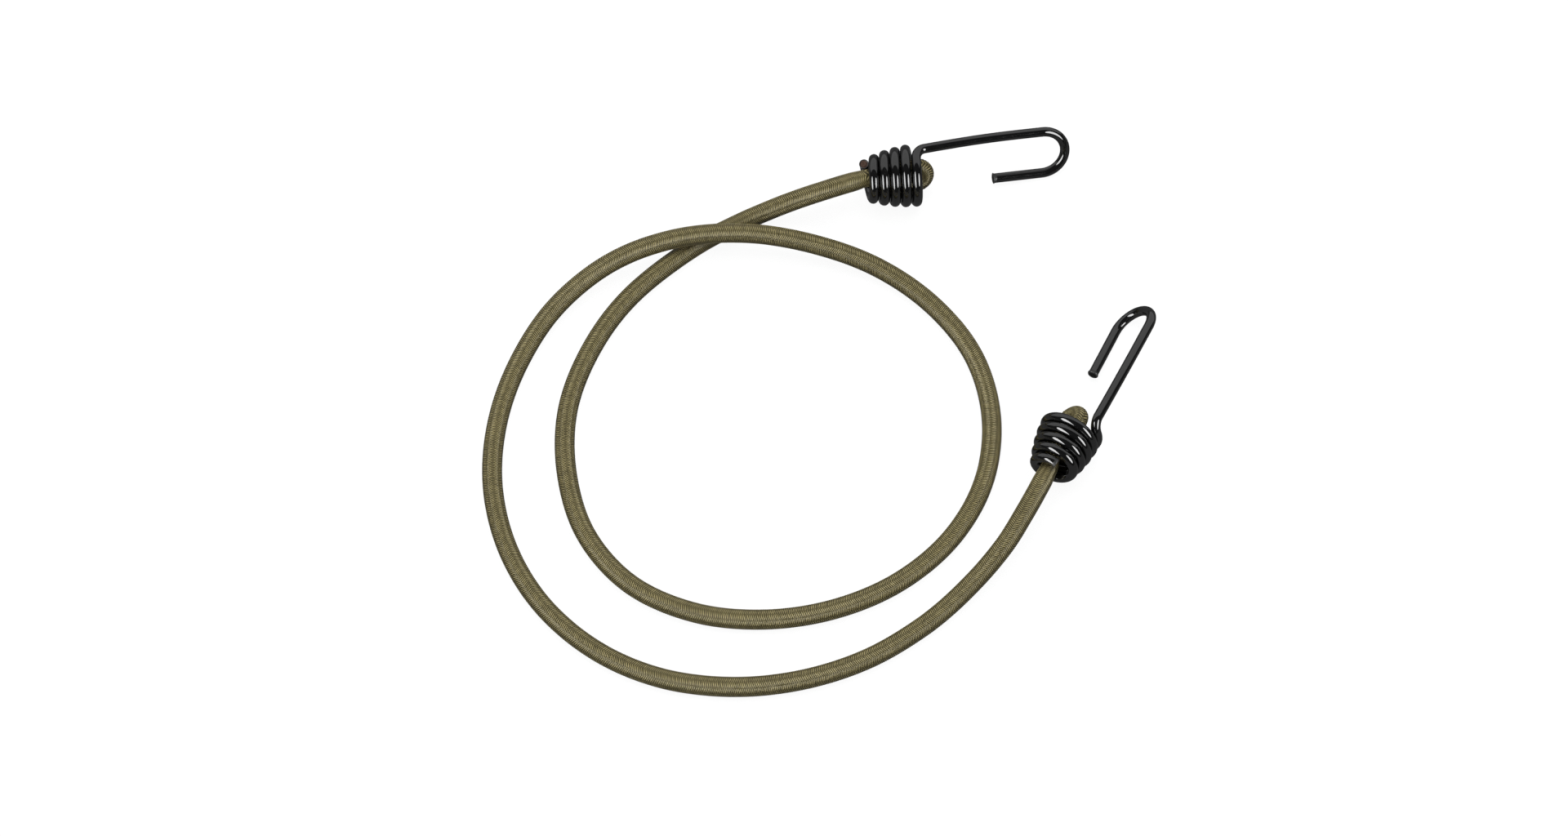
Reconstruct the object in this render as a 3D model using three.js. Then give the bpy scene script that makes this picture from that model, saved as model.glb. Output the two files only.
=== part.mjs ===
// A bungee cord lying on a table: an elastic cord in loose loops, a coated wire hook round each folded end.
// Millimetres, +Z up. The table is z = 0, and the origin is under the middle of the outline.
import * as THREE from 'three';

// Elastic cord
const cordDiameter = 8;
const sleeveWall = 0.9;
const coreClearance = 0.3; // between the braided sleeve and the rubber inside it
const pressedFlat = cordDiameter / 10; // depth that the table flattens the underside
const passGap = 0.3; // between the cord and the run that crosses over it
const faceGap = 0.3; // between two stretches of cord that meet end to end
const neckLength = 46; // cord that rises from the table to a coil
const leadLength = 110; // cord before hook B that a pull draws out
const mouthRun = 3; // cord that leaves a coil straight along its axis

// Folded cord end inside a coil
const squeeze = 1; // what the coil takes off the cord's diameter
const foldGap = 0.6; // between the cord and its folded tail
const tailLength = 10; // straight cord after the fold
const entryLength = 5; // straight cord outside the coil's first turn
const shiftLength = 10.5; // length in the coil over which the cord moves aside to leave room for the tail

// Hook wire
const coatedDiameter = 3.9;
const coatingWall = 0.45;
const wireClearance = 0.2; // between the coating and the steel inside it
const turnGap = 0.5; // between neighbouring turns of the coil
const mouthPlay = 1.35; // round the cord in the coil's small end
const coilPlay = 1.45; // round the folded cord in the coil's large end
const rootBend = 4.6; // radius of the bend from the coil into the shank
const shankLength = 47.2;
const hookSpan = 18.8; // from the shank's middle line to the leg's
const sideStep = 3.85; // from the coil's axis to the middle of the hook's bend
const tableGap = 0.15; // under the lowest point of a hook

// Facets
const cordSides = 12;
const coreSides = 8;
const coatingSides = 8;
const wireSides = 6;
const cordFacet = 2 * cordDiameter;
const neckFacet = 6;
const foldFacet = 2.5;
const stepsPerTurn = 16;
const bendSteps = 9;
const rootSteps = 4;

// Each hook as it lies: where its coil starts on the table plan, its angles in degrees, its turns, its leg,
// how far its turns lean back along the axis and where round them they lean most, and its shank's bow
const hookA = {
  name: 'a', x: 18.4, y: 97.7, heading: 10.4, dip: 6.2, roll: -33.3, turns: 4.83, leg: 20.5,
  lean: 10, leanTurn: -58, bow: 0.6,
};
const hookB = {
  name: 'b', x: 89.8, y: -30.1, heading: 64.2, dip: 7.2, roll: 42.7, turns: 4.86, leg: 23,
  lean: 0, leanTurn: 0, bow: 0.2,
};

// Each folded end: its turn about the coil's axis, its reach past the coil, its offset and slope in the mouth,
// and its offset square to the fold in the mouth and at the dome
const foldA = { roll: 150, domeReach: 6.8, entryShift: -1.2, entrySlope: -0.2, mouthSide: 0, domeSide: 0 };
const foldB = { roll: -136, domeReach: 9.2, entryShift: 1, entrySlope: 0, mouthSide: -0.4, domeSide: -2 };

// The cord's route on the table plan, with its climb as a share of the height of what it rises to
const routeFromA = [[3, 93.3, 1.01], [-9, 90.1, 0.8], [-21.1, 87.2, 0.4], [-34.2, 82.5, 0.09], [-50.2, 73.5, 0]];
const routeLoop = [
  [-76.2, 50.8, 0], [-91.2, 27.8, 0], [-100, 1.5, 0], [-100, -26, 0], [-92, -52.5, 0],
  [-74.5, -73.5, 0], [-49.5, -85.5, 0], [-22, -88.5, 0], [5.5, -84, 0], [30.5, -72.5, 0],
  [51, -54, 0], [64, -30, 0], [67.5, -2.5, 0], [61, 24.5, 0], [45, 47, 0.02],
  [23, 63, 0.26], [-3, 71.5, 0.76], [-30.5, 75.3, 1], [-58.1, 72.8, 1], [-83.5, 63.1, 0.8],
  [-105.2, 45.7, 0.3], [-119.6, 22.3, 0.04], [-127.7, -4, 0], [-129, -31.5, 0], [-122.5, -58.5, 0],
  [-108.7, -82.2, 0], [-88, -101, 0], [-63.5, -112.5, 0], [-36, -116.6, 0], [-8.5, -113.9, 0],
  [17.7, -105, 0], [40.2, -90.8, 0],
];
const routeToB = [[57.2, -75.7, 0.18], [71, -60.9, 0.68], [80, -47, 1.01]];

const sleeveColour = 0x6b6440;
const coreColour = 0xd8cfb4;
const coatingColour = 0x121214;
const steelColour = 0x6a5c50;

const up = new THREE.Vector3(0, 0, 1);
const squeezedDiameter = cordDiameter - squeeze;
const lieHeight = cordDiameter / 2 - pressedFlat;
const passHeight = cordDiameter + passGap;
const coilPitch = coatedDiameter + turnGap;
const foldRadius = (squeezedDiameter + foldGap) / 2;
const smallTurn = squeezedDiameter / 2 + mouthPlay + coatedDiameter / 2;
const largeTurn = foldRadius + squeezedDiameter / 2 + coilPlay + coatedDiameter / 2;

// A path made of stations, each with its direction and the direction of its section's x axis.
class StationPath extends THREE.Curve {
  constructor(points, tangents, sides) {
    super();
    this.points = points;
    this.tangents = tangents;
    this.sides = sides;
  }

  getSpacedPoints() {
    return this.points.map((point) => point.clone());
  }

  computeFrenetFrames() {
    const binormals = this.tangents.map((tangent, k) => tangent.clone().cross(this.sides[k]).normalize());
    return { tangents: this.tangents, normals: this.sides, binormals };
  }
}

// The direction of a line of points at each of them.
function directions(points) {
  const last = points.length - 1;
  return points.map((point, k) => {
    const before = points[Math.max(k - 1, 0)];
    const after = points[Math.min(k + 1, last)];
    return after.clone().sub(before).normalize();
  });
}

// A path whose section turns as little as it can from one station to the next.
function turningPath(points, firstSide) {
  const tangents = directions(points);
  const sides = [];
  tangents.forEach((tangent, k) => {
    const side = (k ? sides[k - 1] : firstSide).clone();
    sides.push(side.addScaledVector(tangent, -side.dot(tangent)).normalize());
  });
  return new StationPath(points, tangents, sides);
}

// A ring of points, its underside cut level at `floor` below the middle.
function ring(radius, sides, floor = radius) {
  const points = [];
  for (let k = 0; k < sides; k += 1) {
    const angle = (2 * Math.PI * (k + 0.5)) / sides;
    points.push(new THREE.Vector2(radius * Math.cos(angle), Math.max(radius * Math.sin(angle), -floor)));
  }
  return points;
}

function tubeSection(outline, hole) {
  const section = new THREE.Shape(outline);
  if (hole) section.holes.push(new THREE.Path(hole));
  return section;
}

function sweep(name, section, path, colour, roughness, metalness) {
  const steps = path.points.length - 1;
  const geometry = new THREE.ExtrudeGeometry(section, { steps, extrudePath: path, bevelEnabled: false });
  const material = new THREE.MeshStandardMaterial({ color: colour, roughness, metalness });
  const mesh = new THREE.Mesh(geometry, material);
  mesh.name = name;
  return mesh;
}

// The braided sleeve and the rubber core of one stretch of cord, its middle `floor` above its flat underside.
function cordStretch(name, path, diameter, floor = diameter / 2) {
  const bore = diameter / 2 - sleeveWall;
  const core = bore - coreClearance / Math.cos(Math.PI / coreSides);
  const boreFloor = floor - sleeveWall;
  const hole = ring(bore, coreSides, boreFloor);
  const sleeve = tubeSection(ring(diameter / 2, cordSides, floor), hole);
  const rubber = tubeSection(ring(core, coreSides, boreFloor - coreClearance));
  return [
    sweep(`${name}_sleeve`, sleeve, path, sleeveColour, 0.85, 0),
    sweep(`${name}_core`, rubber, path, coreColour, 0.9, 0),
  ];
}

// A point on the wire: its place along the coil's axis, and its distance and turn from there, 0 at the shank.
function wirePoint(along, radius, turn) {
  return new THREE.Vector3(along, radius * Math.sin(turn), radius * Math.cos(turn));
}

// The middle line of a hook's wire, from its start at the coil's small end to the tip of its leg.
function wireLine(hook) {
  const points = [];
  const coilEnd = coilPitch * hook.turns;
  const rootTurn = Math.atan2(rootBend, largeTurn);
  const coilSteps = Math.round(hook.turns * stepsPerTurn);
  const lean = Math.tan(THREE.MathUtils.degToRad(hook.lean));
  const leanTurn = THREE.MathUtils.degToRad(hook.leanTurn);
  const leanBack = (radius, turn) => lean * radius * Math.cos(turn - leanTurn);
  for (let k = 0; k <= coilSteps; k += 1) {
    const left = 1 - k / coilSteps;
    const radius = largeTurn - (largeTurn - smallTurn) * left * left;
    const turn = -rootTurn - 2 * Math.PI * hook.turns * left;
    points.push(wirePoint(coilEnd * (1 - left) - leanBack(radius, turn), radius, turn));
  }
  const rootStart = coilEnd - leanBack(largeTurn, -rootTurn);
  for (let k = 1; k <= rootSteps; k += 1) {
    const angle = (Math.PI / 2) * (k / rootSteps);
    const out = rootBend * Math.sin(angle); // along the tangent that the wire leaves the coil on
    const along = rootStart + rootBend * (1 - Math.cos(angle));
    points.push(wirePoint(along, Math.hypot(largeTurn, out), Math.atan2(out, largeTurn) - rootTurn));
  }
  const bendStart = coilEnd + rootBend + shankLength;
  const shankMiddle = (rootStart + rootBend + bendStart) / 2;
  const shankHeight = (Math.hypot(largeTurn, rootBend) + sideStep + hookSpan / 2) / 2;
  points.push(wirePoint(shankMiddle, shankHeight + hook.bow, 0));
  for (let k = 0; k <= bendSteps; k += 1) {
    const angle = Math.PI * (k / bendSteps);
    const along = bendStart + (hookSpan / 2) * Math.sin(angle);
    points.push(wirePoint(along, sideStep + (hookSpan / 2) * Math.cos(angle), 0));
  }
  points.push(wirePoint(bendStart - hook.leg, sideStep - hookSpan / 2, 0));
  return points;
}

// The least gap between the wire and itself, measured between stations at least half a turn apart.
function leastGap(points) {
  let least = Infinity;
  for (let i = 0; i < points.length; i += 1) {
    for (let j = i + stepsPerTurn / 2; j < points.length; j += 1) {
      least = Math.min(least, points[i].distanceTo(points[j]));
    }
  }
  return least - coatedDiameter;
}

// The steel wire and its coating, which is open at both cut ends.
function hookWire(hook, points) {
  const path = turningPath(points, new THREE.Vector3(1, 0, 0));
  const bore = coatedDiameter / 2 - coatingWall;
  const steel = bore - wireClearance / Math.cos(Math.PI / wireSides);
  const skin = tubeSection(ring(coatedDiameter / 2, coatingSides), ring(bore, wireSides));
  const group = new THREE.Group();
  group.rotation.x = THREE.MathUtils.degToRad(hook.roll);
  group.add(sweep(`hook_${hook.name}_coating`, skin, path, coatingColour, 0.25, 0));
  group.add(sweep(`hook_${hook.name}_wire`, tubeSection(ring(steel, wireSides)), path, steelColour, 0.4, 1));
  return group;
}

// The cord's middle line at and outside a coil's first turn, in the frame of its fold.
function mouthPoint(fold, along) {
  return new THREE.Vector3(along, fold.mouthSide, fold.entryShift + fold.entrySlope * along);
}

// The cord's folded end: in through the mouth, aside, round the fold past the coil, and back to its cut.
function foldedEnd(hook, fold) {
  const foldAt = coilPitch * hook.turns + fold.domeReach - foldRadius - squeezedDiameter / 2;
  const points = [];
  const steps = Math.ceil((foldAt + entryLength) / foldFacet);
  for (let k = 0; k <= steps; k += 1) {
    const along = -entryLength + (foldAt + entryLength) * (k / steps);
    const point = mouthPoint(fold, Math.min(along, 0));
    const side = THREE.MathUtils.lerp(point.y, fold.domeSide, THREE.MathUtils.smoothstep(along, 0, foldAt));
    const height = THREE.MathUtils.lerp(point.z, foldRadius, THREE.MathUtils.smoothstep(along, 0, shiftLength));
    points.push(point.set(along, side, height));
  }
  for (let k = 1; k <= bendSteps; k += 1) {
    const angle = Math.PI * (k / bendSteps);
    const out = foldAt + foldRadius * Math.sin(angle);
    points.push(new THREE.Vector3(out, fold.domeSide, foldRadius * Math.cos(angle)));
  }
  points.push(new THREE.Vector3(foldAt - tailLength, fold.domeSide, -foldRadius));
  const group = new THREE.Group();
  group.rotation.x = THREE.MathUtils.degToRad(fold.roll);
  const path = turningPath(points, new THREE.Vector3(0, 1, 0));
  group.add(...cordStretch(`bight_${hook.name}`, path, squeezedDiameter));
  return group;
}

// One end of the cord, set down so that its hook rests on the table, and the places where the cord leaves it.
function cordEnd(hook, fold) {
  const line = wireLine(hook);
  console.log(`hook ${hook.name}: least gap between the turns of its wire ${leastGap(line).toFixed(2)} mm`);
  const wire = hookWire(hook, line);
  const folded = foldedEnd(hook, fold);
  const group = new THREE.Group();
  group.rotation.set(0, THREE.MathUtils.degToRad(hook.dip), THREE.MathUtils.degToRad(hook.heading), 'ZYX');
  group.add(wire, folded);
  group.updateMatrixWorld(true);
  const lowest = Math.min(...line.map((point) => wire.localToWorld(point.clone()).z));
  group.position.set(hook.x, hook.y, coatedDiameter / 2 + tableGap - lowest);
  group.updateMatrixWorld(true);
  const exit = folded.localToWorld(mouthPoint(fold, -entryLength - faceGap));
  const clear = folded.localToWorld(mouthPoint(fold, -entryLength - faceGap - mouthRun));
  return { group, exit, clear };
}

function routePoints(rows, climb) {
  return rows.map(([x, y, share]) => new THREE.Vector3(x, y, lieHeight + share * climb));
}

// A stretch of the free cord between two lengths along it, its section upright and its underside flat.
function freeStretch(name, curve, from, to, facet) {
  const whole = curve.getLength();
  const steps = Math.ceil((to - from) / facet);
  const points = [];
  const tangents = [];
  for (let k = 0; k <= steps; k += 1) {
    const share = (from + (to - from) * (k / steps)) / whole;
    const point = curve.getPointAt(share);
    point.z = Math.max(point.z, lieHeight);
    points.push(point);
    tangents.push(curve.getTangentAt(share));
  }
  const sides = tangents.map((tangent) => up.clone().cross(tangent).normalize());
  return cordStretch(name, new StationPath(points, tangents, sides), cordDiameter, lieHeight);
}

function freeCord(endA, endB) {
  const points = [
    endA.exit,
    endA.clear,
    ...routePoints(routeFromA, endA.exit.z - lieHeight),
    ...routePoints(routeLoop, passHeight),
    ...routePoints(routeToB, endB.exit.z - lieHeight),
    endB.clear,
    endB.exit,
  ];
  const curve = new THREE.CatmullRomCurve3(points, false, 'centripetal');
  curve.arcLengthDivisions = 60 * points.length;
  const whole = curve.getLength();
  const leadStart = whole - neckLength - leadLength;
  console.log(`free cord ${whole.toFixed(0)} mm`);
  return [
    ...freeStretch('neck_a', curve, 0, neckLength, neckFacet),
    ...freeStretch('loop', curve, neckLength + faceGap, leadStart, cordFacet),
    ...freeStretch('lead', curve, leadStart + faceGap, whole - neckLength, cordFacet),
    ...freeStretch('neck_b', curve, whole - neckLength + faceGap, whole, neckFacet),
  ];
}

const endA = cordEnd(hookA, foldA);
const endB = cordEnd(hookB, foldB);
const bungeeCord = new THREE.Group();
bungeeCord.add(endA.group, endB.group, ...freeCord(endA, endB));

export default bungeeCord;
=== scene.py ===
import math
import bpy
from mathutils import Matrix, Vector


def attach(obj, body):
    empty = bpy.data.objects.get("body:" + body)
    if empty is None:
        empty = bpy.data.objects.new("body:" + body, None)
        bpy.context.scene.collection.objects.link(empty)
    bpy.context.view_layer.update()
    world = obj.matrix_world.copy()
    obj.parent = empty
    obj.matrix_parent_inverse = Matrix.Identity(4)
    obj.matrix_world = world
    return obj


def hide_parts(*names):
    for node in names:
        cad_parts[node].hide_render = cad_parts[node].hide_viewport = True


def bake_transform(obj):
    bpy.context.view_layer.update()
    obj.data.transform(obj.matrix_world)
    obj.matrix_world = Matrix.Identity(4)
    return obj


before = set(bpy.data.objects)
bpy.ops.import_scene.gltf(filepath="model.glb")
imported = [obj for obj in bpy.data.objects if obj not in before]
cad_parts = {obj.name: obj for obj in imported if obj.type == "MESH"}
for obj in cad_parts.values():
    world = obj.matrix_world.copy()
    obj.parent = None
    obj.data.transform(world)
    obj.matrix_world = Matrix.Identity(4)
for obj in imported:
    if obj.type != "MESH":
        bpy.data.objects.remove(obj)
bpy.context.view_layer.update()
print("frame loaded:", len(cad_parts), "solids")

# Camera at the photograph's viewing angle

photoView = {
    "target": Vector((-0.0145, -0.0005, 0.0)),
    "elevation": math.radians(65.3),
    "distance": 2.0,
    "lens": 115.875,
    "sensor": 36.0,
}


def placeCamera(size):
    camera = bpy.data.objects.new("photoCamera", bpy.data.cameras.new("photoCamera"))
    bpy.context.scene.collection.objects.link(camera)
    camera.data.lens = size["lens"]
    camera.data.sensor_width = size["sensor"]
    tilt = size["elevation"]
    back = Vector((0.0, -math.cos(tilt), math.sin(tilt)))
    camera.location = size["target"] + size["distance"] * back
    camera.rotation_euler = (math.pi / 2 - tilt, 0.0, 0.0)
    bpy.context.scene.camera = camera


placeCamera(photoView)
print("camera placed")

# Small helpers for node trees


def addNode(tree, kind, settings=None, **sockets):
    node = tree.nodes.new(kind)
    for name, value in (settings or {}).items():
        setattr(node, name, value)
    for name, value in sockets.items():
        feed(tree, node.inputs[int(name[1:])], value)  # i0, i1 ... by place
    return node


def feed(tree, socket, value):
    if isinstance(value, bpy.types.NodeSocket):
        tree.links.new(value, socket)
    else:
        socket.default_value = value


def maths(tree, operation, *values):
    node = tree.nodes.new("ShaderNodeMath")
    node.operation = operation
    for place, value in enumerate(values):
        feed(tree, node.inputs[place], value)
    return node.outputs[0]


def vectorMaths(tree, operation, *values, scale=None):
    node = tree.nodes.new("ShaderNodeVectorMath")
    node.operation = operation
    for place, value in enumerate(values):
        feed(tree, node.inputs[place], value)
    if scale is not None:
        feed(tree, node.inputs["Scale"], scale)
    return node.outputs[0]


def readAttribute(tree, name, kind="FLOAT"):
    node = tree.nodes.new("GeometryNodeInputNamedAttribute")
    node.data_type = kind
    node.inputs["Name"].default_value = name
    return node.outputs["Attribute"]


def keepAttribute(tree, geometry, name, value):
    node = tree.nodes.new("GeometryNodeStoreNamedAttribute")
    node.data_type = "FLOAT"
    node.domain = "POINT"
    node.inputs["Name"].default_value = name
    tree.links.new(geometry, node.inputs["Geometry"])
    tree.links.new(value, node.inputs["Value"])
    return node.outputs["Geometry"]


def openTree(name, inputs):
    tree = bpy.data.node_groups.new(name, "GeometryNodeTree")
    tree.interface.new_socket("Geometry", in_out="INPUT", socket_type="NodeSocketGeometry")
    for label, kind in inputs:
        tree.interface.new_socket(label, in_out="INPUT", socket_type=kind)
    tree.interface.new_socket("Geometry", in_out="OUTPUT", socket_type="NodeSocketGeometry")
    return tree, tree.nodes.new("NodeGroupInput").outputs


def closeTree(tree, geometry, material):
    smooth = addNode(tree, "GeometryNodeSetShadeSmooth", i0=geometry)
    real = addNode(tree, "GeometryNodeRealizeInstances", i0=smooth.outputs[0])
    painted = addNode(tree, "GeometryNodeSetMaterial", i0=real.outputs[0], i2=material)
    tree.links.new(painted.outputs[0], tree.nodes.new("NodeGroupOutput").inputs[0])


# A line of rings for a tree to sweep along: points, and one value or direction for each ring
def ringLine(name, points, **values):
    line = bpy.data.meshes.new(name)
    line.from_pydata(points, [(k, k + 1) for k in range(len(points) - 1)], [])
    for label, column in values.items():
        if isinstance(column[0], Vector):
            attribute = line.attributes.new(label, "FLOAT_VECTOR", "POINT")
            attribute.data.foreach_set("vector", [part for row in column for part in row])
        else:
            attribute = line.attributes.new(label, "FLOAT", "POINT")
            attribute.data.foreach_set("value", column)
    return line


def shapeByTree(name, line, tree, sizes):
    piece = bpy.data.objects.new(name, line)
    bpy.context.scene.collection.objects.link(piece)
    modifier = piece.modifiers.new("shape", "NODES")
    modifier.node_group = tree
    for item in tree.interface.items_tree:
        if item.in_out == "INPUT" and item.name in sizes:
            modifier[item.identifier] = sizes[item.name]
    graph = bpy.context.evaluated_depsgraph_get()
    made = bpy.data.meshes.new_from_object(piece.evaluated_get(graph))
    piece.modifiers.remove(modifier)
    piece.data = made
    made.name = name
    for label in ("ringSide", "ringCentre", "ringRadius", "aroundShare"):
        if label in made.attributes:
            made.attributes.remove(made.attributes[label])
    return piece


# Hooks and folded cord ends, in the frame of each coil's axis

hookWire = {
    "coatedRadius": 0.00195,
    "steelRadius": 0.00148,
    "boreRadius": 0.0015,
    "pitch": 0.0044,
    "smallTurn": 0.0068,
    "largeTurn": 0.0107,
    "rootBend": 0.0046,
    "shankLength": 0.0472,
    "hookSpan": 0.0188,
    "sideStep": 0.00385,
    "sides": 28,
    "stepsPerTurn": 56,
    "rootSteps": 14,
    "shankSteps": 40,
    "bendSteps": 48,
    "legSteps": 30,
    "swellStart": (0.002, 0.008),  # lengths over which the coating grows fuller at the coil's start
    "swellEnd": (0.0, 0.010),  # and lengths before the coil's end over which that fades
    "sootyFrom": 0.4,  # shares of the wire between which its steel turns from brown to sooty
    "sootyTo": 0.6,
}
foldedEnd = {
    "radius": 0.0038,
    "cordRadius": 0.0035,
    "tailLength": 0.010,
    "entryLength": 0.005,
    "faceGap": 0.0003,
    "mouthRun": 0.003,
    "shiftLength": 0.0105,
    "squeezeRun": (-0.007, 0.001),  # where the cord narrows, from outside a coil's mouth
}
hookA = {
    "name": "A",
    "body": "hook_a",
    "place": Vector((0.0184, 0.0977, 0.014779)),
    "heading": 10.4,
    "dip": 6.2,
    "roll": -33.3,
    "turns": 4.83,
    "leg": 0.0205,
    "lean": 10.0,  # of the turns along the axis, in degrees, most at leanTurn
    "leanTurn": -58.0,
    "bow": 0.0006,
    "foldRoll": 150.0,
    "domeReach": 0.0068,
    "entryShift": -0.0012,
    "entrySlope": -0.2,
    "mouthSide": 0.0,
    "domeSide": 0.0,
    "coilSwell": 0.00012,  # the coating is fuller in the turns
    "flare": 0.15,  # swelling of the leg's cut tip, as a share of the radius
    "flareAt": 0.0001,
    "flareWidth": 0.0004,
}
hookB = {
    "name": "B",
    "body": "hook_b",
    "place": Vector((0.0898, -0.0301, 0.015319)),
    "heading": 64.2,
    "dip": 7.2,
    "roll": 42.7,
    "turns": 4.86,
    "leg": 0.023,
    "lean": 0.0,
    "leanTurn": 0.0,
    "bow": 0.0002,
    "foldRoll": -136.0,
    "domeReach": 0.0092,
    "entryShift": 0.001,
    "entrySlope": 0.0,
    "mouthSide": -0.0004,
    "domeSide": -0.002,
    "coilSwell": 0.00007,
    "flare": 0.14,
    "flareAt": 0.0006,
    "flareWidth": 0.00045,
}


def coilFrame(hook, roll):
    turned = Matrix.Rotation(math.radians(hook["heading"]), 4, "Z")
    dipped = Matrix.Rotation(math.radians(hook["dip"]), 4, "Y")
    rolled = Matrix.Rotation(math.radians(roll), 4, "X")
    return Matrix.Translation(hook["place"]) @ turned @ dipped @ rolled


def smoothStep(value, low, high):
    share = min(max((value - low) / (high - low), 0.0), 1.0)
    return share * share * (3.0 - 2.0 * share)


def lerp(low, high, share):
    return low + (high - low) * share


# The cord's middle line at and outside a coil's first turn
def mouthPoint(hook, along):
    return Vector((along, hook["mouthSide"], hook["entryShift"] + hook["entrySlope"] * along))


# The cord inside a coil, from its mouth to the cut end of its tail
def foldLine(hook, step):
    size = foldedEnd
    foldAt = hookWire["pitch"] * hook["turns"] + hook["domeReach"] - size["radius"] - size["cordRadius"]
    points = []
    count = round((foldAt + size["entryLength"]) / step)
    for k in range(count):
        along = lerp(-size["entryLength"], foldAt, k / count)
        mouth = mouthPoint(hook, min(along, 0.0))
        side = lerp(mouth.y, hook["domeSide"], smoothStep(along, 0.0, foldAt))
        height = lerp(mouth.z, size["radius"], smoothStep(along, 0.0, size["shiftLength"]))
        points.append(Vector((along, side, height)))
    count = round(math.pi * size["radius"] / step)
    for k in range(count):
        angle = math.pi * k / count
        out = foldAt + size["radius"] * math.sin(angle)
        points.append(Vector((out, hook["domeSide"], size["radius"] * math.cos(angle))))
    count = round(size["tailLength"] / step)
    for k in range(count + 1):
        points.append(Vector((foldAt - size["tailLength"] * k / count, hook["domeSide"], -size["radius"])))
    place = coilFrame(hook, hook["foldRoll"])
    return [place @ point for point in points]


# Where the free cord leaves a coil: at its mouth, and a little further out
def cordExit(hook, further):
    out = -foldedEnd["entryLength"] - foldedEnd["faceGap"] - further
    return coilFrame(hook, hook["foldRoll"]) @ mouthPoint(hook, out)


# Free cord: the route on the table plan, with its climb as a share of what it rises to

cordRoute = {
    "lieHeight": 0.004,
    "passHeight": 0.0083,
    "stepsPerSpan": 60,
    "fromA": [
        (0.0030, 0.0933, 1.01), (-0.0090, 0.0901, 0.80), (-0.0211, 0.0872, 0.40),
        (-0.0342, 0.0825, 0.09), (-0.0502, 0.0735, 0.0),
    ],
    "loop": [
        (-0.0762, 0.0508, 0.0), (-0.0912, 0.0278, 0.0), (-0.1000, 0.0015, 0.0),
        (-0.1000, -0.0260, 0.0), (-0.0920, -0.0525, 0.0), (-0.0745, -0.0735, 0.0),
        (-0.0495, -0.0855, 0.0), (-0.0220, -0.0885, 0.0), (0.0055, -0.0840, 0.0),
        (0.0305, -0.0725, 0.0), (0.0510, -0.0540, 0.0), (0.0640, -0.0300, 0.0),
        (0.0675, -0.0025, 0.0), (0.0610, 0.0245, 0.0), (0.0450, 0.0470, 0.02),
        (0.0230, 0.0630, 0.26), (-0.0030, 0.0715, 0.76), (-0.0305, 0.0753, 1.0),
        (-0.0581, 0.0728, 1.0), (-0.0835, 0.0631, 0.80), (-0.1052, 0.0457, 0.30),
        (-0.1196, 0.0223, 0.04), (-0.1277, -0.0040, 0.0), (-0.1290, -0.0315, 0.0),
        (-0.1225, -0.0585, 0.0), (-0.1087, -0.0822, 0.0), (-0.0880, -0.1010, 0.0),
        (-0.0635, -0.1125, 0.0), (-0.0360, -0.1166, 0.0), (-0.0085, -0.1139, 0.0),
        (0.0177, -0.1050, 0.0), (0.0402, -0.0908, 0.0),
    ],
    "toB": [(0.0572, -0.0757, 0.18), (0.0710, -0.0609, 0.68), (0.0800, -0.0470, 1.01)],
}
cordBraid = {
    "radius": 0.004,
    "ringStep": 0.0001875,
    "neck": 0.046,
    "neckPiece": 0.052,  # a neck's piece reaches a little past where the bend ends
    "lead": 0.110,
    "loopPieces": 3,
    "pathEvery": 5,  # rings between two points of a cord's path
    "seamNudge": 1e-4,  # keeps a column's first points in that column, in columns
    "wanderLength": 0.017,
    "wanderTurn": 2.4,  # from one column to the next
    "ribsApart": 40009.0,  # more ribs than a column holds, so that each rib has its own number
    "toneSeed": 11,
    "roundAcross": 1.2,  # powers that shape a rib
    "roundEnds": 0.5,
    "sizes": {
        "Columns": 10,
        "Points per Column": 6,
        "Rib Pitch": 0.00075,
        "Rib Depth": 0.00028,
        "Slant": 1.0,
        "Rib Reach": 0.66,  # half a rib's length, in columns
        "Wander": 0.15,  # how far a column's ribs drift from its neighbours', in ribs
    },
}


def routePoints(rows, climb):
    low = cordRoute["lieHeight"]
    return [Vector((x, y, low + share * climb)) for x, y, share in rows]


# A smooth line through the route's points, as the cord's solids follow it
def centripetalLine(points, perSpan):
    first = 2 * points[0] - points[1]
    last = 2 * points[-1] - points[-2]
    row = [first] + points + [last]
    line = []
    for k in range(1, len(row) - 2):
        a, b, c, d = row[k - 1], row[k], row[k + 1], row[k + 2]
        ab = (b - a).length ** 0.5
        bc = (c - b).length ** 0.5
        cd = (d - c).length ** 0.5
        leave = ((b - a) / ab - (c - a) / (ab + bc) + (c - b) / bc) * bc
        reach = ((c - b) / bc - (d - b) / (bc + cd) + (d - c) / cd) * bc
        for j in range(perSpan):
            t = j / perSpan
            line.append(
                b + leave * t
                + (3 * (c - b) - 2 * leave - reach) * t * t
                + (2 * (b - c) + leave + reach) * t ** 3
            )
    line.append(row[-2])
    return line


def lengthsAlong(points):
    lengths = [0.0]
    for before, after in zip(points, points[1:]):
        lengths.append(lengths[-1] + (after - before).length)
    return lengths


def evenLine(points, step):
    lengths = lengthsAlong(points)
    count = round(lengths[-1] / step)
    even = []
    k = 0
    for ring in range(count + 1):
        wanted = lengths[-1] * ring / count
        while k < len(points) - 2 and lengths[k + 1] < wanted:
            k += 1
        share = (wanted - lengths[k]) / (lengths[k + 1] - lengths[k])
        even.append(points[k].lerp(points[k + 1], min(max(share, 0.0), 1.0)))
    return even


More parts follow.
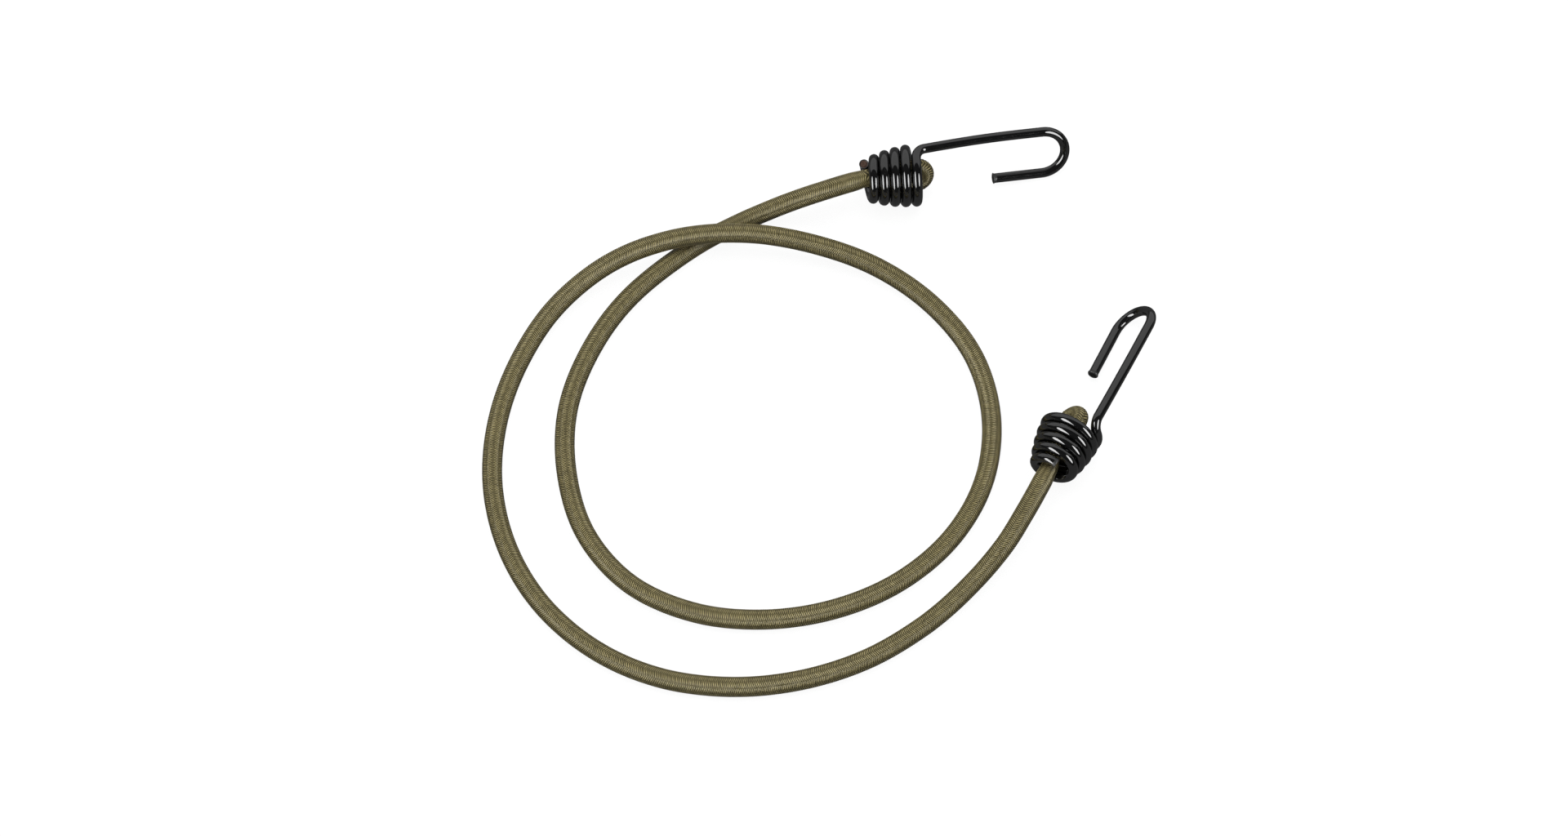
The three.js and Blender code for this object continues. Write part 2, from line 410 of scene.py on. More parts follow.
def freeLine():
    low = cordRoute["lieHeight"]
    exitA = cordExit(hookA, 0.0)
    exitB = cordExit(hookB, 0.0)
    points = [exitA, cordExit(hookA, foldedEnd["mouthRun"])]
    points += routePoints(cordRoute["fromA"], exitA.z - low)
    points += routePoints(cordRoute["loop"], cordRoute["passHeight"])
    points += routePoints(cordRoute["toB"], exitB.z - low)
    points += [cordExit(hookB, foldedEnd["mouthRun"]), exitB]
    line = centripetalLine(points, cordRoute["stepsPerSpan"])
    for point in line:
        point.z = max(point.z, low)
    return evenLine(line, cordBraid["ringStep"])


# Directions along a line, and a side direction that turns as little as it can
def lineDirections(points):
    last = len(points) - 1
    return [(points[min(k + 1, last)] - points[max(k - 1, 0)]).normalized() for k in range(last + 1)]


def carriedSides(points, first):
    sides = []
    side = first
    for along in lineDirections(points):
        side = (side - along * side.dot(along)).normalized()
        sides.append(side)
    return sides


# Sleeve: ribs of yarn in columns that slant in turn, one way and the other, all round the cord


# Round across the rib, and falling away at its two ends
def ribHeight(tree, phase, across, reach):
    wave = maths(tree, "ABSOLUTE", maths(tree, "SINE", maths(tree, "MULTIPLY", phase, math.pi)))
    rounded = maths(tree, "POWER", wave, cordBraid["roundAcross"])
    off = maths(tree, "DIVIDE", maths(tree, "ABSOLUTE", across), reach)
    left = maths(tree, "MAXIMUM", maths(tree, "SUBTRACT", 1.0, maths(tree, "POWER", off, 2.0)), 0.0)
    return maths(tree, "MULTIPLY", rounded, maths(tree, "POWER", left, cordBraid["roundEnds"]))


def sleeveTree():
    tree, given = openTree("braidedSleeve", [
        ("Columns", "NodeSocketInt"),
        ("Points per Column", "NodeSocketInt"),
        ("Rib Pitch", "NodeSocketFloat"),
        ("Rib Depth", "NodeSocketFloat"),
        ("Slant", "NodeSocketFloat"),
        ("Rib Reach", "NodeSocketFloat"),
        ("Wander", "NodeSocketFloat"),
        ("Sleeve Material", "NodeSocketMaterial"),
    ])
    columns, slant = given["Columns"], given["Slant"]
    line = addNode(tree, "GeometryNodeMeshToCurve", i0=given["Geometry"])
    side = readAttribute(tree, "ringSide", "FLOAT_VECTOR")
    turned = addNode(tree, "GeometryNodeSetCurveNormal", {"mode": "FREE"}, i0=line.outputs[0], i2=side)
    around = maths(tree, "MULTIPLY", columns, given["Points per Column"])
    circle = addNode(tree, "GeometryNodeCurvePrimitiveCircle", i0=around)
    circle.inputs["Radius"].default_value = 1.0
    share = tree.nodes.new("GeometryNodeSplineParameter").outputs["Factor"]
    profile = keepAttribute(tree, circle.outputs[0], "aroundShare", share)
    radius = readAttribute(tree, "ringRadius")
    tube = addNode(tree, "GeometryNodeCurveToMesh", i0=turned.outputs[0], i1=profile, i2=radius, i3=True)
    # place in the braid: column, place across it, and ribs passed along the cord
    place = maths(tree, "MULTIPLY_ADD", readAttribute(tree, "aroundShare"), columns, cordBraid["seamNudge"])
    column = maths(tree, "FLOOR", place)
    across = maths(tree, "SUBTRACT", maths(tree, "FRACT", place), 0.5)
    odd = maths(tree, "MODULO", column, 2.0)
    lean = maths(tree, "MULTIPLY", maths(tree, "MULTIPLY_ADD", odd, -2.0, 1.0), slant)
    travelled = readAttribute(tree, "cordLength")
    passed = maths(tree, "DIVIDE", travelled, given["Rib Pitch"])

    def ribsPassed(ofColumn):
        swing = maths(tree, "MULTIPLY", travelled, 2 * math.pi / cordBraid["wanderLength"])
        swing = maths(tree, "MULTIPLY_ADD", ofColumn, cordBraid["wanderTurn"], swing)
        return maths(tree, "MULTIPLY_ADD", maths(tree, "SINE", swing), given["Wander"], passed)

    # a rib of this column, and the end of one from the column beside it, half a rib further on
    beside = maths(tree, "SUBTRACT", across, maths(tree, "SIGN", across))
    start = maths(tree, "MULTIPLY", odd, 0.5)
    phase = maths(tree, "ADD", ribsPassed(column), maths(tree, "MULTIPLY_ADD", across, lean, start))
    nextColumn = maths(tree, "ADD", column, maths(tree, "SIGN", across))
    nextColumn = maths(tree, "FLOORED_MODULO", nextColumn, columns)
    nextStart = maths(tree, "MULTIPLY_ADD", odd, -0.5, 0.5)
    nextLean = maths(tree, "MULTIPLY", lean, -1.0)
    nextPhase = maths(tree, "MULTIPLY_ADD", beside, nextLean, nextStart)
    nextPhase = maths(tree, "ADD", ribsPassed(nextColumn), nextPhase)
    own = ribHeight(tree, phase, across, given["Rib Reach"])
    other = ribHeight(tree, nextPhase, beside, given["Rib Reach"])
    height = maths(tree, "MAXIMUM", own, other)
    sunk = maths(tree, "DIVIDE", given["Rib Depth"], radius)
    scale = maths(tree, "SUBTRACT", 1.0, maths(tree, "MULTIPLY", sunk, maths(tree, "SUBTRACT", 1.0, height)))
    centre = readAttribute(tree, "ringCentre", "FLOAT_VECTOR")
    spot = tree.nodes.new("GeometryNodeInputPosition").outputs[0]
    spoke = vectorMaths(tree, "SUBTRACT", spot, centre)
    raised = vectorMaths(tree, "ADD", centre, vectorMaths(tree, "SCALE", spoke, scale=scale))
    # what the yarn's finish reads
    named = keepAttribute(tree, tube.outputs[0], "ribHeight", height)
    named = keepAttribute(tree, named, "ribPhase", phase)
    chance = tree.nodes.new("FunctionNodeRandomValue")
    chance.data_type = "FLOAT"
    identity = maths(tree, "MULTIPLY_ADD", column, cordBraid["ribsApart"], maths(tree, "FLOOR", phase))
    tree.links.new(identity, chance.inputs["ID"])
    chance.inputs["Seed"].default_value = cordBraid["toneSeed"]
    named = keepAttribute(tree, named, "ribTone", chance.outputs[1])
    shaped = addNode(tree, "GeometryNodeSetPosition", i0=named, i2=raised)
    # each quad is cut along its rib rather than across it
    cut = addNode(tree, "GeometryNodeTriangulate", {"quad_method": "SHORTEST_DIAGONAL"}, i0=shaped.outputs[0])
    closeTree(tree, cut.outputs[0], given["Sleeve Material"])
    return tree


# Wire: a coating with its own bore, closed at both cut ends, and the steel inside it


def coatingTree():
    tree, given = openTree("coatedWire", [
        ("Sides", "NodeSocketInt"),
        ("Bore Radius", "NodeSocketFloat"),
        ("Coating Material", "NodeSocketMaterial"),
    ])
    line = addNode(tree, "GeometryNodeMeshToCurve", i0=given["Geometry"])
    circle = addNode(tree, "GeometryNodeCurvePrimitiveCircle", i0=given["Sides"])
    circle.inputs["Radius"].default_value = 1.0
    outer = addNode(
        tree, "GeometryNodeCurveToMesh",
        i0=line.outputs[0], i1=circle.outputs[0], i2=readAttribute(tree, "ringRadius"), i3=False,
    )
    inner = addNode(
        tree, "GeometryNodeCurveToMesh",
        i0=line.outputs[0], i1=circle.outputs[0], i2=given["Bore Radius"], i3=False,
    )
    flipped = addNode(tree, "GeometryNodeFlipFaces", i0=inner.outputs[0])
    both = tree.nodes.new("GeometryNodeJoinGeometry")
    tree.links.new(outer.outputs[0], both.inputs[0])
    tree.links.new(flipped.outputs[0], both.inputs[0])
    closed = addNode(tree, "GeometryNodeMergeByDistance", i0=both.outputs[0])
    closed.inputs["Distance"].default_value = 1e-6
    closeTree(tree, closed.outputs[0], given["Coating Material"])
    return tree


def steelTree():
    tree, given = openTree("steelWire", [
        ("Sides", "NodeSocketInt"),
        ("Steel Material", "NodeSocketMaterial"),
    ])
    line = addNode(tree, "GeometryNodeMeshToCurve", i0=given["Geometry"])
    circle = addNode(tree, "GeometryNodeCurvePrimitiveCircle", i0=given["Sides"])
    circle.inputs["Radius"].default_value = 1.0
    rod = addNode(
        tree, "GeometryNodeCurveToMesh",
        i0=line.outputs[0], i1=circle.outputs[0], i2=readAttribute(tree, "ringRadius"), i3=True,
    )
    closeTree(tree, rod.outputs[0], given["Steel Material"])
    return tree


def wirePoint(along, radius, turn):
    return Vector((along, radius * math.sin(turn), radius * math.cos(turn)))


# The middle line of a hook's wire, from its start at the coil's small end to the tip of its leg
def wireLine(hook):
    size = hookWire
    large, root = size["largeTurn"], size["rootBend"]
    coilEnd = size["pitch"] * hook["turns"]
    rootTurn = math.atan2(root, large)
    lean = math.tan(math.radians(hook["lean"]))
    leanTurn = math.radians(hook["leanTurn"])
    points = []
    steps = round(hook["turns"] * size["stepsPerTurn"])
    for k in range(steps + 1):
        left = 1.0 - k / steps
        radius = large - (large - size["smallTurn"]) * left * left
        turn = -rootTurn - 2 * math.pi * hook["turns"] * left
        leaned = lean * radius * math.cos(turn - leanTurn)
        points.append(wirePoint(coilEnd * (1.0 - left) - leaned, radius, turn))
    rootStart = points[-1].x
    slope = math.atan2(points[-1].x - points[-2].x, (points[-1] - points[-2]).length)
    steps = size["rootSteps"]
    for k in range(1, steps + 1):
        angle = lerp(slope, math.pi / 2, k / steps)
        share = (math.sin(angle) - math.sin(slope)) / (1.0 - math.sin(slope))
        out = root * share
        along = rootStart + root * (math.cos(slope) - math.cos(angle)) / math.cos(slope)
        points.append(wirePoint(along, math.hypot(large, out), math.atan2(out, large) - rootTurn))
    bendStart = coilEnd + root + size["shankLength"]
    half = size["hookSpan"] / 2
    shankStart = points[-1]
    shankEnd = Vector((bendStart, 0.0, size["sideStep"] + half))
    steps = size["shankSteps"]
    for k in range(1, steps):
        point = shankStart.lerp(shankEnd, k / steps)
        point.z += hook["bow"] * math.sin(math.pi * k / steps)
        points.append(point)
    steps = size["bendSteps"]
    for k in range(steps + 1):
        angle = math.pi * k / steps
        out = half * math.sin(angle)
        points.append(Vector((bendStart + out, 0.0, size["sideStep"] + half * math.cos(angle))))
    steps = size["legSteps"]
    legStart = points[-1]
    for k in range(1, steps + 1):
        points.append(legStart + Vector((-hook["leg"] * k / steps, 0.0, 0.0)))
    place = coilFrame(hook, hook["roll"])
    return [place @ point for point in points]


# Closer rings near both cut ends, where the coating's edge is shaped
def withEndRings(points, reach, spacing):
    lengths = lengthsAlong(points)
    whole = lengths[-1]
    count = round(reach / spacing)
    wanted = [spacing * k for k in range(count)]
    inner = reach + spacing / 2
    wanted += [value for value in lengths if inner <= value <= whole - inner]
    wanted += [whole - spacing * k for k in range(count - 1, -1, -1)]
    fine = []
    k = 0
    for value in wanted:
        while k < len(points) - 2 and lengths[k + 1] < value:
            k += 1
        share = (value - lengths[k]) / (lengths[k + 1] - lengths[k])
        fine.append(points[k].lerp(points[k + 1], min(max(share, 0.0), 1.0)))
    return fine, wanted, whole


cutEnds = {
    "reach": 0.0024,
    "spacing": 0.00006,
    "roundOff": 0.00022,  # edge of the coating at a cut
    "edgeDrop": 0.45,  # of the coating's wall, lost at its rounded edge
    "atCut": 1e-7,
    "steelBack": 0.00012,  # steel behind the coating's edge
    "dullRun": (0.0018, 0.0008),  # distances from a cut between which the gloss fades
}


def coatingRadii(hook, lengths, whole):
    size = cutEnds
    coilLength = lengthsAlong(wireLine(hook))[round(hook["turns"] * hookWire["stepsPerTurn"])]
    radii = []
    for along in lengths:
        fromTip = whole - along
        radius = hookWire["coatedRadius"]
        inCoil = smoothStep(along, *hookWire["swellStart"])
        inCoil *= smoothStep(coilLength - along, *hookWire["swellEnd"])
        radius += hook["coilSwell"] * inCoil
        swell = math.exp(-(((fromTip - hook["flareAt"]) / hook["flareWidth"]) ** 2))
        radius *= 1.0 + hook["flare"] * swell
        near = min(along, fromTip)
        if near < size["roundOff"]:
            drop = 1.0 - near / size["roundOff"]
            radius -= (radius - hookWire["boreRadius"]) * size["edgeDrop"] * drop * drop
        if near < size["atCut"]:
            radius = hookWire["boreRadius"]
        radii.append(radius)
    return radii


# Finishes


def newFinish(name):
    material = bpy.data.materials.new(name)
    material.use_nodes = True
    tree = material.node_tree
    shader = tree.nodes["Principled BSDF"]
    return material, tree, shader


def ramp(tree, factor, stops):
    node = tree.nodes.new("ShaderNodeValToRGB")
    band = node.color_ramp
    band.elements[0].position, band.elements[0].color = stops[0][0], (*stops[0][1], 1.0)
    band.elements[1].position, band.elements[1].color = stops[-1][0], (*stops[-1][1], 1.0)
    for position, colour in stops[1:-1]:
        band.elements.new(position).color = (*colour, 1.0)
    tree.links.new(factor, node.inputs[0])
    return node.outputs[0]


def shaderAttribute(tree, name):
    node = tree.nodes.new("ShaderNodeAttribute")
    node.attribute_name = name
    return node.outputs["Fac"]


def objectNoise(tree, scale, detail=3.0, roughness=0.55):
    spot = tree.nodes.new("ShaderNodeTexCoord").outputs["Object"]
    noise = tree.nodes.new("ShaderNodeTexNoise")
    noise.inputs["Scale"].default_value = scale
    noise.inputs["Detail"].default_value = detail
    noise.inputs["Roughness"].default_value = roughness
    tree.links.new(spot, noise.inputs["Vector"])
    return noise.outputs["Fac"]


def mixColour(tree, kind, factor, first, second):
    node = tree.nodes.new("ShaderNodeMix")
    node.data_type = "RGBA"
    node.blend_type = kind
    feed(tree, node.inputs[0], factor)
    feed(tree, node.inputs[6], first)
    feed(tree, node.inputs[7], second)
    return node.outputs[2]


def bumpFrom(tree, height, strength, distance):
    bump = tree.nodes.new("ShaderNodeBump")
    bump.inputs["Strength"].default_value = strength
    bump.inputs["Distance"].default_value = distance
    tree.links.new(height, bump.inputs["Height"])
    return bump.outputs[0]


oliveYarn = {
    "shades": [  # from the groove over the flank to the top of a rib: painted shade in the groove, painted highlight on the top
        (0.25, (0.012, 0.010, 0.003)),
        (0.55, (0.088, 0.072, 0.026)),
        (0.92, (0.510, 0.432, 0.206)),
    ],
    "toneSpread": 0.40,  # how far one rib's tone may be from another's
    "toneLow": 0.80,
    "patchScale": 90.0,
    "patchSpread": 0.24,
    "patchLow": 0.88,
    "roughness": 0.30,
    "specular": 1.0,
    "specularTint": (1.0, 0.93, 0.70, 1.0),
    "sheen": 0.12,
    "sheenRoughness": 0.5,
    "sheenTint": (0.62, 0.56, 0.40, 1.0),
    "filaments": 7.0,  # lines of thread across one rib
    "threadBump": (0.12, 0.00003),
}


def braidFinish(size):
    material, tree, shader = newFinish("oliveBraid")
    # The base colour follows the rib's height: painted shade in the grooves and painted highlight on the rib
    # tops, around the yarn's own olive
    base = ramp(tree, shaderAttribute(tree, "ribHeight"), size["shades"])
    tone = shaderAttribute(tree, "ribTone")
    lift = maths(tree, "MULTIPLY_ADD", tone, size["toneSpread"], size["toneLow"])
    cloud = objectNoise(tree, size["patchScale"])
    patch = maths(tree, "MULTIPLY_ADD", cloud, size["patchSpread"], size["patchLow"])
    level = maths(tree, "MULTIPLY", lift, patch)
    grey = tree.nodes.new("ShaderNodeCombineColor")
    for place in range(3):
        tree.links.new(level, grey.inputs[place])
    colour = mixColour(tree, "MULTIPLY", 1.0, base, grey.outputs[0])
    tree.links.new(colour, shader.inputs["Base Color"])
    shader.inputs["Roughness"].default_value = size["roughness"]
    shader.inputs["Specular IOR Level"].default_value = size["specular"]
    shader.inputs["Specular Tint"].default_value = size["specularTint"]
    shader.inputs["Sheen Weight"].default_value = size["sheen"]
    shader.inputs["Sheen Roughness"].default_value = size["sheenRoughness"]
    shader.inputs["Sheen Tint"].default_value = size["sheenTint"]
    turn = maths(tree, "MULTIPLY", shaderAttribute(tree, "ribPhase"), 2 * math.pi * size["filaments"])
    threads = maths(tree, "SINE", turn)
    tree.links.new(bumpFrom(tree, threads, *size["threadBump"]), shader.inputs["Normal"])
    return material


# Fine scuffs and dust shared by the coating and the cut steel
def wearGroup():
    group = bpy.data.node_groups.new("handlingWear", "ShaderNodeTree")
    for label, value in (("Scale", 400.0), ("Low", 0.2), ("High", 0.4)):
        socket = group.interface.new_socket(label, in_out="INPUT", socket_type="NodeSocketFloat")
        socket.default_value = value
    group.interface.new_socket("Roughness", in_out="OUTPUT", socket_type="NodeSocketFloat")
    group.interface.new_socket("Height", in_out="OUTPUT", socket_type="NodeSocketFloat")
    given = group.nodes.new("NodeGroupInput").outputs
    out = group.nodes.new("NodeGroupOutput").inputs
    spot = group.nodes.new("ShaderNodeTexCoord").outputs["Object"]
    noise = group.nodes.new("ShaderNodeTexNoise")
    noise.inputs["Detail"].default_value = 4.0
    group.links.new(spot, noise.inputs["Vector"])
    group.links.new(given["Scale"], noise.inputs["Scale"])
    spread = group.nodes.new("ShaderNodeMapRange")
    spread.inputs["From Min"].default_value = 0.3
    spread.inputs["From Max"].default_value = 0.7
    group.links.new(noise.outputs["Fac"], spread.inputs["Value"])
    group.links.new(given["Low"], spread.inputs["To Min"])
    group.links.new(given["High"], spread.inputs["To Max"])
    group.links.new(spread.outputs[0], out["Roughness"])
    group.links.new(noise.outputs["Fac"], out["Height"])
    return group


def wearNode(tree, group, scale, low, high):
    node = tree.nodes.new("ShaderNodeGroup")
    node.node_tree = group
    node.inputs["Scale"].default_value = scale
    node.inputs["Low"].default_value = low
    node.inputs["High"].default_value = high
    return node


blackVinyl = {
    "wearScale": 320.0,
    "roughness": (0.05, 0.11),
    "grainScale": 260.0,
    "shades": [(0.3, (0.0022, 0.0022, 0.0023)), (0.75, (0.0050, 0.0050, 0.0052))],
    "tornRoughness": 0.5,
    "ior": 1.8,
    "specular": 1.0,
    "bump": (0.12, 0.0001),
}


def coatingFinish(size, group):
    material, tree, shader = newFinish("blackCoating")
    wear = wearNode(tree, group, size["wearScale"], *size["roughness"])
    shade = ramp(tree, objectNoise(tree, size["grainScale"]), size["shades"])
    tree.links.new(shade, shader.inputs["Base Color"])
    torn = maths(tree, "MULTIPLY", shaderAttribute(tree, "nearCut"), size["tornRoughness"])
    dull = maths(tree, "MAXIMUM", wear.outputs["Roughness"], torn)
    tree.links.new(dull, shader.inputs["Roughness"])
    shader.inputs["IOR"].default_value = size["ior"]
    shader.inputs["Specular IOR Level"].default_value = size["specular"]
    tree.links.new(bumpFrom(tree, wear.outputs["Height"], *size["bump"]), shader.inputs["Normal"])
    return material


rawSteel = {
    "wearScale": 1800.0,
    "roughness": (0.42, 0.68),
    "grainScale": 1400.0,
    "brown": [(0.3, (0.050, 0.026, 0.018)), (0.7, (0.17, 0.105, 0.078))],
    "sooty": [(0.3, (0.006, 0.006, 0.006)), (0.7, (0.050, 0.050, 0.048))],
    "metallic": 0.55,
    "bump": (0.8, 0.0003),
}


def steelFinish(size, group):
    material, tree, shader = newFinish("cutSteel")
    wear = wearNode(tree, group, size["wearScale"], *size["roughness"])
    grain = objectNoise(tree, size["grainScale"])
    brown = ramp(tree, grain, size["brown"])
    sooty = ramp(tree, grain, size["sooty"])
    shade = mixColour(tree, "MIX", shaderAttribute(tree, "tipShare"), brown, sooty)
    tree.links.new(shade, shader.inputs["Base Color"])
    tree.links.new(wear.outputs["Roughness"], shader.inputs["Roughness"])
    shader.inputs["Metallic"].default_value = size["metallic"]
    tree.links.new(bumpFrom(tree, wear.outputs["Height"], *size["bump"]), shader.inputs["Normal"])
    return material


wear = wearGroup()
oliveBraid = braidFinish(oliveYarn)
blackCoating = coatingFinish(blackVinyl, wear)
cutSteel = steelFinish(rawSteel, wear)
print("finishes made")

# The whole sleeve is one line of rings, from the tail in coil A to the tail in coil B

endLineA = foldLine(hookA, cordBraid["ringStep"])
endLineB = foldLine(hookB, cordBraid["ringStep"])
openLine = freeLine()
sleevePoints = endLineA[::-1] + openLine + endLineB
sleeveLengths = lengthsAlong(sleevePoints)
sleeveSides = carriedSides(sleevePoints, Vector((0.0, 0.0, 1.0)))
firstFree = len(endLineA)
lastFree = firstFree + len(openLine) - 1
freeLength = sleeveLengths[lastFree] - sleeveLengths[firstFree]
print("free cord %.3f m, sleeve %.3f m, %d rings" % (freeLength, sleeveLengths[-1], len(sleevePoints)))


# The coils squeeze the cord over a short run at their mouths
def sleeveRadius(along):
    inside = min(along - sleeveLengths[firstFree], sleeveLengths[lastFree] - along)
    return lerp(foldedEnd["cordRadius"], cordBraid["radius"], smoothStep(inside, *foldedEnd["squeezeRun"]))


sleeveRadii = [sleeveRadius(along) for along in sleeveLengths]
braidedSleeve = sleeveTree()


def ringAt(along):
    wanted = sleeveLengths[firstFree] + along
    return min(range(firstFree, lastFree + 1), key=lambda k: abs(sleeveLengths[k] - wanted))


def sleevePiece(name, first, last):
    rings = slice(first, last + 1)
    line = ringLine(
        name,
        sleevePoints[rings],
        ringSide=sleeveSides[rings],
        ringCentre=sleevePoints[rings],
        ringRadius=sleeveRadii[rings],
        cordLength=sleeveLengths[rings],
    )
    piece = shapeByTree(name, line, braidedSleeve, {**cordBraid["sizes"], "Sleeve Material": oliveBraid})
    return piece


def declareCord(first, last):
    path = [sleevePoints[k] for k in range(first, last + 1, cordBraid["pathEvery"])]
    if (last - first) % cordBraid["pathEvery"]:
        path.append(sleevePoints[last])


neckStop = ringAt(cordBraid["neckPiece"])
leadStart = ringAt(freeLength - cordBraid["neck"] - cordBraid["lead"])
neckStart = ringAt(freeLength - cordBraid["neckPiece"])
loopPieces = cordBraid["loopPieces"]
loopCuts = [round(lerp(neckStop, leadStart, k / loopPieces)) for k in range(loopPieces + 1)]

sleeveEndA = sleevePiece("sleeveEndA", 0, firstFree)
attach(sleeveEndA, "end_a")
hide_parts("bight_a_sleeve", "bight_a_core")

sleeveNeckA = sleevePiece("sleeveNeckA", firstFree, neckStop)
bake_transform(sleeveNeckA)
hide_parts("neck_a_sleeve", "neck_a_core")
declareCord(firstFree, neckStop)

for k in range(loopPieces):
    sleeveLoop = sleevePiece("sleeveLoop%d" % (k + 1), loopCuts[k], loopCuts[k + 1])
    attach(sleeveLoop, "cord")
    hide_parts("loop_sleeve", "loop_core")
    declareCord(loopCuts[k], loopCuts[k + 1])

sleeveLead = sleevePiece("sleeveLead", leadStart, neckStart)
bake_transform(sleeveLead)
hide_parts("lead_sleeve", "lead_core")
declareCord(leadStart, neckStart)

sleeveNeckB = sleevePiece("sleeveNeckB", neckStart, lastFree)
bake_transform(sleeveNeckB)
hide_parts("neck_b_sleeve", "neck_b_core")
declareCord(neckStart, lastFree)

sleeveEndB = sleevePiece("sleeveEndB", lastFree, len(sleevePoints) - 1)
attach(sleeveEndB, "end_b")
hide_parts("bight_b_sleeve", "bight_b_core")
print("sleeve made")

coatedWire = coatingTree()
steelWire = steelTree()


def makeHook(hook):
    points, lengths, whole = withEndRings(wireLine(hook), cutEnds["reach"], cutEnds["spacing"])
    line = ringLine(
        "hookLine" + hook["name"],
        points,
        ringRadius=coatingRadii(hook, lengths, whole),
        nearCut=[smoothStep(min(along, whole - along), *cutEnds["dullRun"]) for along in lengths],
    )
    coating = shapeByTree("hookCoating" + hook["name"], line, coatedWire, {
        "Sides": hookWire["sides"],
        "Bore Radius": hookWire["boreRadius"],
        "Coating Material": blackCoating,
    })
    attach(coating, hook["body"])
    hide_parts(hook["body"] + "_coating")
    back = cutEnds["steelBack"]
    inner = [k for k, along in enumerate(lengths) if back <= along <= whole - back]
    line = ringLine(
        "steelLine" + hook["name"],
        [points[k] for k in inner],
        ringRadius=[hookWire["steelRadius"]] * len(inner),
        tipShare=[
            smoothStep(lengths[k] / whole, hookWire["sootyFrom"], hookWire["sootyTo"])
            for k in inner
        ],
    )
    steel = shapeByTree("hookSteel" + hook["name"], line, steelWire, {
        "Sides": hookWire["sides"],
        "Steel Material": cutSteel,
    })
    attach(steel, hook["body"])
    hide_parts(hook["body"] + "_wire")
    print("hook", hook["name"], "made, wire %.3f m" % whole)


makeHook(hookA)
makeHook(hookB)

# Floor and studio light

studio = {
    "floorSize": 3.0,
    "floorPale": (0.88, 0.88, 0.88, 1.0),
    "floorDim": (0.02, 0.02, 0.02, 1.0),
    "backgroundWhite": 1.10,
    "shadowShare": 0.16,
    "glossyShare": 0.09,
    "worldColour": (1.0, 1.0, 1.0, 1.0),
    "worldLight": 0.03,
}
# Each lamp is hidden from diffuse light or from gloss where the other needs a light of its own
softBoxes = [
    {"name": "leftBox", "from": (-0.663, -0.547, 0.513), "far": 1.4, "along": (0.2, -0.79, -0.58),
     "size": (1.55, 0.70), "radiance": 4.2, "shape": "ELLIPSE", "hidden": "visible_diffuse"},
    {"name": "rightBox", "from": (0.717, -0.461, 0.523), "far": 1.4, "along": (0.08, -0.68, -0.73),
     "size": (1.15, 0.70), "radiance": 4.2, "shape": "ELLIPSE", "hidden": "visible_diffuse"},
    {"name": "backBox", "from": (0.0, 0.866, 0.5), "far": 2.2, "along": (1.0, 0.0, 0.0),
     "size": (9.4, 3.4), "radiance": 0.33, "shape": "RECTANGLE", "hidden": None},
    {"name": "topBox", "from": (0.0, 0.15, 0.99), "far": 2.5, "along": (1.0, 0.0, 0.0),
     "size": (2.1, 2.1), "radiance": 3.4, "shape": "RECTANGLE", "hidden": "visible_glossy"},
    {"name": "frontBox", "from": (-0.20, -0.80, 0.55), "far": 2.0, "along": (1.0, 0.0, 0.0),
     "size": (1.6, 1.2), "radiance": 2.0, "shape": "RECTANGLE", "hidden": "visible_glossy"},
]


def mixShader(tree, share, first, second):
    mix = tree.nodes.new("ShaderNodeMixShader")
    feed(tree, mix.inputs[0], share)
    tree.links.new(first, mix.inputs[1])
    tree.links.new(second, mix.inputs[2])
    return mix.outputs[0]


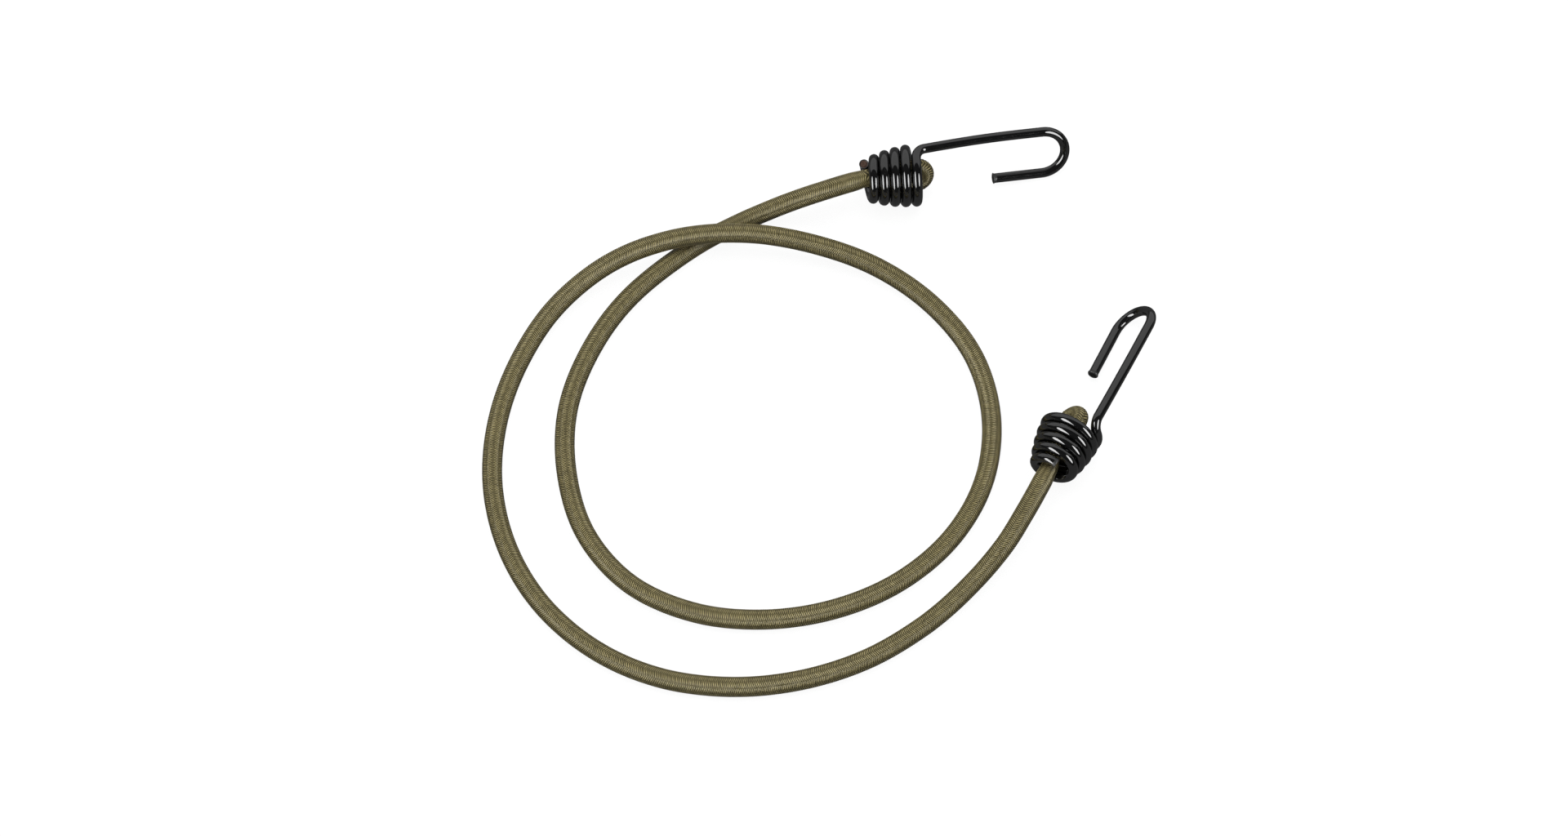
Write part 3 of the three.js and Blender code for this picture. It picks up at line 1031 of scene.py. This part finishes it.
# To the camera the floor lets the white world through and keeps a trace of shadow, so that a hook turned
# below the table stays in view. To the part it is dim, with a small share of white in what the gloss mirrors.
def floorFinish():
    material = bpy.data.materials.new("paleFloor")
    material.use_nodes = True
    tree = material.node_tree
    tree.nodes.clear()
    dim = tree.nodes.new("ShaderNodeBsdfDiffuse")
    dim.inputs["Color"].default_value = studio["floorDim"]
    pale = tree.nodes.new("ShaderNodeBsdfDiffuse")
    pale.inputs["Color"].default_value = studio["floorPale"]
    white = tree.nodes.new("ShaderNodeEmission")
    white.inputs["Strength"].default_value = studio["backgroundWhite"]
    through = tree.nodes.new("ShaderNodeBsdfTransparent")
    rays = tree.nodes.new("ShaderNodeLightPath").outputs
    mirrored = maths(tree, "MAXIMUM", rays["Is Glossy Ray"], rays["Is Transmission Ray"])
    mirrored = maths(tree, "MULTIPLY", mirrored, studio["glossyShare"])
    inMirrors = mixShader(tree, studio["shadowShare"], white.outputs[0], pale.outputs[0])
    seen = mixShader(tree, studio["shadowShare"], through.outputs[0], pale.outputs[0])
    unseen = mixShader(tree, mirrored, dim.outputs[0], inMirrors)
    out = tree.nodes.new("ShaderNodeOutputMaterial")
    tree.links.new(mixShader(tree, rays["Is Camera Ray"], unseen, seen), out.inputs["Surface"])
    return material


def makeFloor():
    half = studio["floorSize"] / 2
    corners = [(-half, -half, 0.0), (half, -half, 0.0), (half, half, 0.0), (-half, half, 0.0)]
    mesh = bpy.data.meshes.new("floor")
    mesh.from_pydata(corners, [], [(0, 1, 2, 3)])
    floor = bpy.data.objects.new("floor", mesh)
    bpy.context.scene.collection.objects.link(floor)
    mesh.materials.append(floorFinish())


def makeSoftBox(box):
    wide, high = box["size"]
    lamp = bpy.data.lights.new(box["name"], "AREA")
    lamp.shape = box["shape"]
    lamp.size = wide
    lamp.size_y = high
    lamp.energy = math.pi * wide * high * box["radiance"]  # watts that give the panel this radiance
    if box["shape"] == "ELLIPSE":
        lamp.energy *= math.pi / 4
    holder = bpy.data.objects.new(box["name"], lamp)
    bpy.context.scene.collection.objects.link(holder)
    away = Vector(box["from"]).normalized()
    along = Vector(box["along"])
    along = (along - away * along.dot(away)).normalized()
    holder.location = away * box["far"]
    holder.rotation_euler = Matrix((along, away.cross(along), away)).transposed().to_euler()
    holder.visible_camera = False
    if box["hidden"]:
        setattr(holder, box["hidden"], False)


def lightStudio():
    for box in softBoxes:
        makeSoftBox(box)
    world = bpy.data.worlds.new("studio")
    bpy.context.scene.world = world
    world.use_nodes = True
    tree = world.node_tree
    dim = tree.nodes["Background"]
    dim.inputs["Strength"].default_value = studio["worldLight"]
    dim.inputs["Color"].default_value = studio["worldColour"]
    white = tree.nodes.new("ShaderNodeBackground")
    white.inputs["Color"].default_value = studio["worldColour"]
    white.inputs["Strength"].default_value = studio["backgroundWhite"]
    rays = tree.nodes.new("ShaderNodeLightPath").outputs
    lit = mixShader(tree, rays["Is Camera Ray"], dim.outputs[0], white.outputs[0])
    tree.links.new(lit, tree.nodes["World Output"].inputs["Surface"])


makeFloor()
lightStudio()
bpy.context.scene.view_settings.view_transform = "Standard"
print("studio lit")
